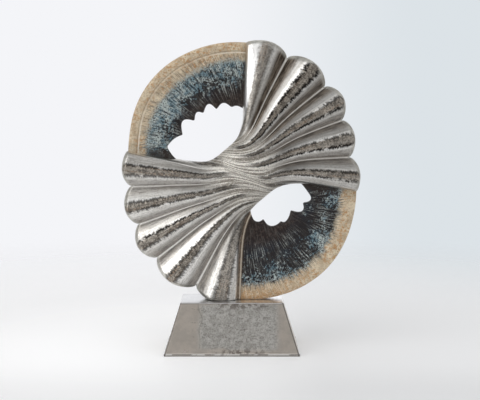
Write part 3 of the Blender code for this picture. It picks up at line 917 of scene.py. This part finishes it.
def brushed_pewter():
    """Satin pewter: smooth brown-grey sides, a hammered grey panel on the front and back, a pale top."""
    material, g, shader = new_material("brushed_pewter")
    place = g.add("ShaderNodeTexCoord").outputs["Object"]
    x, y, z = g.split(place)
    bend = g.swing(g.noise(place, 45.0, 3.0), 0.010)
    panel_x = g.smooth(g.math("ABSOLUTE", g.plus(g.minus(x, 0.0092), bend)), 0.047, 0.058, 1.0, 0.0)
    warped = g.plus(z, bend)
    panel_z = g.times(g.smooth(warped, 0.006, 0.012), g.smooth(warped, 0.069, 0.063))
    panel = g.times(panel_x, panel_z)
    hammered = g.noise(place, 480.0, 3.0, 0.68)
    blotch = g.noise(place, 60.0, 3.0, 0.6)
    cloud = g.noise(place, 140.0, 4.0, 0.65)
    scratch = g.noise(g.vector("MULTIPLY", place, (90.0, 90.0, 900.0)), 1.0, 2.0, 0.6)
    colour = g.mix(g.smooth(blotch, 0.35, 0.65), (0.75, 0.695, 0.635), (0.62, 0.58, 0.53))
    inner = g.mix(g.smooth(cloud, 0.40, 0.60), (0.51, 0.505, 0.485), (0.37, 0.362, 0.342))
    colour = g.mix(g.times(panel, 0.9), colour, inner)
    colour = g.mix(g.times(panel, g.smooth(hammered, 0.51, 0.62, 0.0, 0.50)), colour, (0.20, 0.186, 0.17))
    colour = g.mix(g.times(panel, g.smooth(hammered, 0.46, 0.36, 0.0, 0.35)), colour, (0.68, 0.67, 0.65))

    # long scratches, some level and some upright
    wave = g.noise(g.vector("MULTIPLY", place, (16.0, 16.0, 4.0)), 1.0, 1.0)
    waved = g.plus(z, g.swing(wave, 0.050))
    level = g.near(g.math("FRACT", g.times(waved, 62.0)), 0.5, 0.045)
    level = g.times(level, g.smooth(cloud, 0.47, 0.56))
    sway = g.noise(g.vector("MULTIPLY", place, (4.0, 4.0, 30.0)), 1.0, 1.0)
    swayed = g.plus(x, g.swing(sway, 0.020))
    upright = g.near(swayed, -0.0440, 0.0013)
    marks = g.times(g.math("MAXIMUM", level, g.times(upright, 0.6)), g.times(panel_z, 0.6))
    marks = g.times(marks, g.smooth(g.math("ABSOLUTE", x), 0.056, 0.050))
    colour = g.mix(marks, colour, (0.15, 0.14, 0.128))
    middle = g.smooth(g.math("ABSOLUTE", g.minus(x, 0.012)), 0.045, 0.015)
    ends = g.math("MAXIMUM", g.smooth(z, 0.012, 0.006), g.smooth(z, 0.058, 0.064))
    scuff = g.times(g.times(middle, ends), g.smooth(cloud, 0.46, 0.56))
    colour = g.mix(g.times(scuff, 0.7), colour, (0.17, 0.14, 0.125))
    colour = g.mix(g.smooth(scratch, 0.66, 0.76, 0.0, 0.25), colour, (0.24, 0.22, 0.20))

    # darker corners and front top edge, a dark lip with a painted highlight along its top, and a pale top
    slope = g.times(g.minus(z, PLINTH_LIP_HEIGHT), PLINTH_SIDE_SLOPE)
    to_side = g.plus(g.minus(g.math("ABSOLUTE", x), plinth_high[0] - PLINTH_LIP_STEP), slope)
    to_front = g.plus(g.minus(g.math("ABSOLUTE", y), plinth_high[1] - PLINTH_LIP_STEP), slope)
    at_side = g.smooth(to_side, -0.0026, -0.0010)
    at_front = g.smooth(to_front, -0.0026, -0.0010)
    corner = g.times(at_side, at_front)
    top = g.smooth(z, plinth_high[2] - 0.0013, plinth_high[2] - 0.0004)
    brink = g.times(g.smooth(z, plinth_high[2] - 0.0030, plinth_high[2] - 0.0012), at_front)
    lip = g.smooth(z, PLINTH_LIP_HEIGHT + 0.0006, PLINTH_LIP_HEIGHT)
    # painted highlight along the top of the lip
    lip_highlight = g.times(g.near(z, PLINTH_LIP_HEIGHT - 0.0005, 0.0011), g.smooth(blotch, 0.42, 0.54))
    combed = g.noise(g.vector("MULTIPLY", place, (300.0, 20.0, 20.0)), 1.0, 2.0)
    pale = g.mix(g.smooth(combed, 0.4, 0.6), (0.97, 0.975, 0.99), (0.86, 0.865, 0.88))
    pale = g.mix(g.smooth(x, 0.02, -0.05, 0.0, 0.8), pale, (0.64, 0.64, 0.65))
    colour = g.mix(top, colour, pale)
    colour = g.mix(g.times(lip, 0.85), colour, (0.245, 0.232, 0.215))
    colour = g.mix(g.times(lip_highlight, 0.9), colour, (0.95, 0.94, 0.92))
    dim = g.math("MAXIMUM", g.times(corner, 0.85), g.times(brink, 0.35))
    colour = g.mix(dim, colour, (0.105, 0.092, 0.082))
    g.put(shader.inputs["Base Color"], colour)
    shader.inputs["Metallic"].default_value = 1.0
    rough = g.plus(0.24, g.times(panel, 0.16))
    rough = g.plus(rough, g.times(dim, 0.30))
    g.put(shader.inputs["Roughness"], g.plus(rough, g.times(blotch, 0.12)))
    normal = g.bump(hammered, g.plus(0.05, g.times(panel, 0.42)), 0.0005)
    normal = g.bump(scratch, 0.08, 0.0003, normal)
    g.put(shader.inputs["Normal"], normal)
    return material


def studio_floor():
    """White paper with painted light: darker to the right and in front as the light falls off, and a faint
    painted glow near the plinth on its left; it fades out far from the sculpture.
    """
    material, g, shader = new_material("studio_floor")
    place = g.add("ShaderNodeTexCoord").outputs["Object"]
    x, y, _ = g.split(place)
    # painted light falloff: the paper darker to the right and in front
    paper = g.mix(g.smooth(x, -0.30, 0.25), (0.97, 0.972, 0.985), (0.87, 0.878, 0.893))
    away = g.vector("LENGTH", place)
    g.put(shader.inputs["Base Color"], g.vector("SCALE", paper, scale=g.smooth(y, -0.08, -0.25, 1.0, 0.91)))
    shader.inputs["Roughness"].default_value = 0.6
    shader.inputs["Specular IOR Level"].default_value = 0.2
    shader.inputs["Emission Color"].default_value = (1.0, 1.0, 1.0, 1.0)
    # painted light: a faint glow near the plinth, most on its left
    painted_glow = g.times(g.smooth(x, 0.13, 0.02, 0.0, 0.11), g.smooth(away, 0.50, 0.16))
    g.put(shader.inputs["Emission Strength"], painted_glow)
    fade = g.smooth(away, 0.30, 1.30)
    clear = g.add("ShaderNodeBsdfTransparent").outputs[0]
    blend = g.add("ShaderNodeMixShader")
    g.put(blend.inputs[0], fade)
    g.put(blend.inputs[1], shader.outputs[0])
    g.put(blend.inputs[2], clear)
    output = material.node_tree.nodes["Material Output"]
    g.put(output.inputs["Surface"], blend.outputs[0])
    return material


def make_floor():
    """Round sheet of paper that the plinth stands on."""
    shape = bmesh.new()
    bmesh.ops.create_circle(shape, cap_ends=True, segments=96, radius=1.6)
    mesh = bpy.data.meshes.new("floor")
    shape.to_mesh(mesh)
    shape.free()
    mesh.materials.append(studio_floor())
    made = bpy.data.objects.new("floor", mesh)
    bpy.context.scene.collection.objects.link(made)


def make_world():
    """Pale room for reflections with a hot patch at the left, and a pale wall seen behind with painted
    falloff, lighter at the left and darker and bluer to the right.
    """
    world = bpy.data.worlds.new("studio")
    bpy.context.scene.world = world
    world.use_nodes = True
    g = Graph(world.node_tree)
    world.node_tree.nodes.clear()
    rays = g.add("ShaderNodeLightPath").outputs
    toward = g.vector("NORMALIZE", g.add("ShaderNodeTexCoord").outputs["Generated"])
    sideways, _, up = g.split(toward)
    flat = g.vector("NORMALIZE", g.vector("MULTIPLY", toward, (1.0, 0.0, 1.0)))
    left = g.vector("DOT_PRODUCT", flat, tuple(Vector((-0.92, 0.0, 0.40)).normalized()))
    front = g.vector("DOT_PRODUCT", toward, tuple(Vector((0.05, -1.0, 0.0)).normalized()))
    colour = g.mix(g.smooth(up, -0.4, 0.7), (0.56, 0.56, 0.56), (0.86, 0.865, 0.87))
    colour = g.mix(g.smooth(front, 0.15, -0.40, 0.0, 0.8), colour, (0.46, 0.45, 0.435))
    colour = g.mix(g.smooth(front, -0.80, -0.96), colour, (1.12, 1.13, 1.15))
    colour = g.mix(g.smooth(front, 0.74, 0.93, 0.0, 0.85), colour, (0.21, 0.19, 0.17))
    hot = g.times(g.smooth(left, 0.84, 0.96), g.smooth(front, 0.20, 0.42))
    hot = g.times(hot, g.smooth(front, 0.80, 0.66))
    hot = g.times(hot, rays["Is Glossy Ray"])
    colour = g.mix(hot, colour, (3.2, 3.2, 3.2))
    background = g.add("ShaderNodeBackground")
    g.put(background.inputs["Color"], colour)
    g.put(background.inputs["Strength"], g.plus(1.0, g.times(rays["Is Diffuse Ray"], 0.26)))
    plain = g.add("ShaderNodeBackground")
    # painted falloff on the wall seen behind: lighter at the left, darker and bluer to the right
    backdrop = g.mix(g.smooth(sideways, -0.05, 0.17), (0.905, 0.912, 0.940), (0.715, 0.765, 0.800))
    g.put(plain.inputs["Color"], backdrop)
    g.put(plain.inputs["Strength"], 1.0)
    blend = g.add("ShaderNodeMixShader")
    g.put(blend.inputs[0], rays["Is Camera Ray"])
    g.put(blend.inputs[1], background.outputs[0])
    g.put(blend.inputs[2], plain.outputs[0])
    g.put(g.add("ShaderNodeOutputWorld").inputs["Surface"], blend.outputs[0])


def make_light(name, place, aim, size, power, colour):
    """Soft lamp at place, turned to aim, left out of reflections."""
    light = bpy.data.lights.new(name, "AREA")
    light.shape = "RECTANGLE"
    light.size, light.size_y = size
    light.energy = power
    light.color = colour
    made = bpy.data.objects.new(name, light)
    made.location = place
    made.rotation_euler = (Vector(aim) - Vector(place)).to_track_quat("-Z", "Y").to_euler()
    made.visible_glossy = False
    bpy.context.scene.collection.objects.link(made)


def make_camera():
    """View of the photograph, a little from above."""
    data = bpy.data.cameras.new("camera")
    data.sensor_width = SENSOR
    data.lens = SENSOR * VIEW_DISTANCE / (IMAGE_WIDTH * METRES_A_PIXEL)
    camera = bpy.data.objects.new("camera", data)
    away = Vector((0, -np.cos(VIEW_ELEVATION), np.sin(VIEW_ELEVATION))) * VIEW_DISTANCE
    camera.location = Vector(VIEW_TARGET) + away
    camera.rotation_euler = (np.pi / 2 - VIEW_ELEVATION, 0, 0)
    bpy.context.scene.collection.objects.link(camera)
    bpy.context.scene.camera = camera


silver = worn_silver()
upper_paint = painted_metal(
    "upper_paint",
    tan_width=0.0235,
    dark_start=0.0655,
    light_level=0.450,
    rust_below=-1.0,
    bead_share=1.0,
    frayed_by=0.012,
    fan_shade_widths=(0.0015, 0.0090),
)
lower_paint = painted_metal(
    "lower_paint",
    tan_width=0.0215,
    dark_start=0.074,
    light_level=0.565,
    rust_below=0.098,
    bead_share=0.0,
    frayed_by=0.016,
    fan_shade_widths=(0.0060, 0.0075),
)
pewter = brushed_pewter()

band = make_band(silver)
upper_edge = eye_edge(UPPER_TEETH, UPPER_BITE_ROUNDNESS)
upper = make_crescent("upper_crescent", upper_edge, UPPER_CRESCENT_INSETS, 1, BEAD_HEIGHT, upper_paint)
lower_edge = eye_edge(LOWER_TEETH, LOWER_BITE_ROUNDNESS)
lower = make_crescent("lower_crescent", lower_edge, LOWER_CRESCENT_INSETS, -1, 0.0, lower_paint)
plinth = make_plinth(pewter)

for piece in (band, upper, lower, plinth):
    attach(piece, "root")
for piece in (band, upper, lower):
    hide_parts("twisted_disc")
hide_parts("plinth")

make_floor()
make_world()
make_light("softbox", (-1.1, -1.0, 1.5), (0, 0, 0.2), (1.8, 1.8), 4.0, (1.0, 0.99, 0.97))
make_camera()
bpy.context.scene.view_settings.view_transform = "Standard"
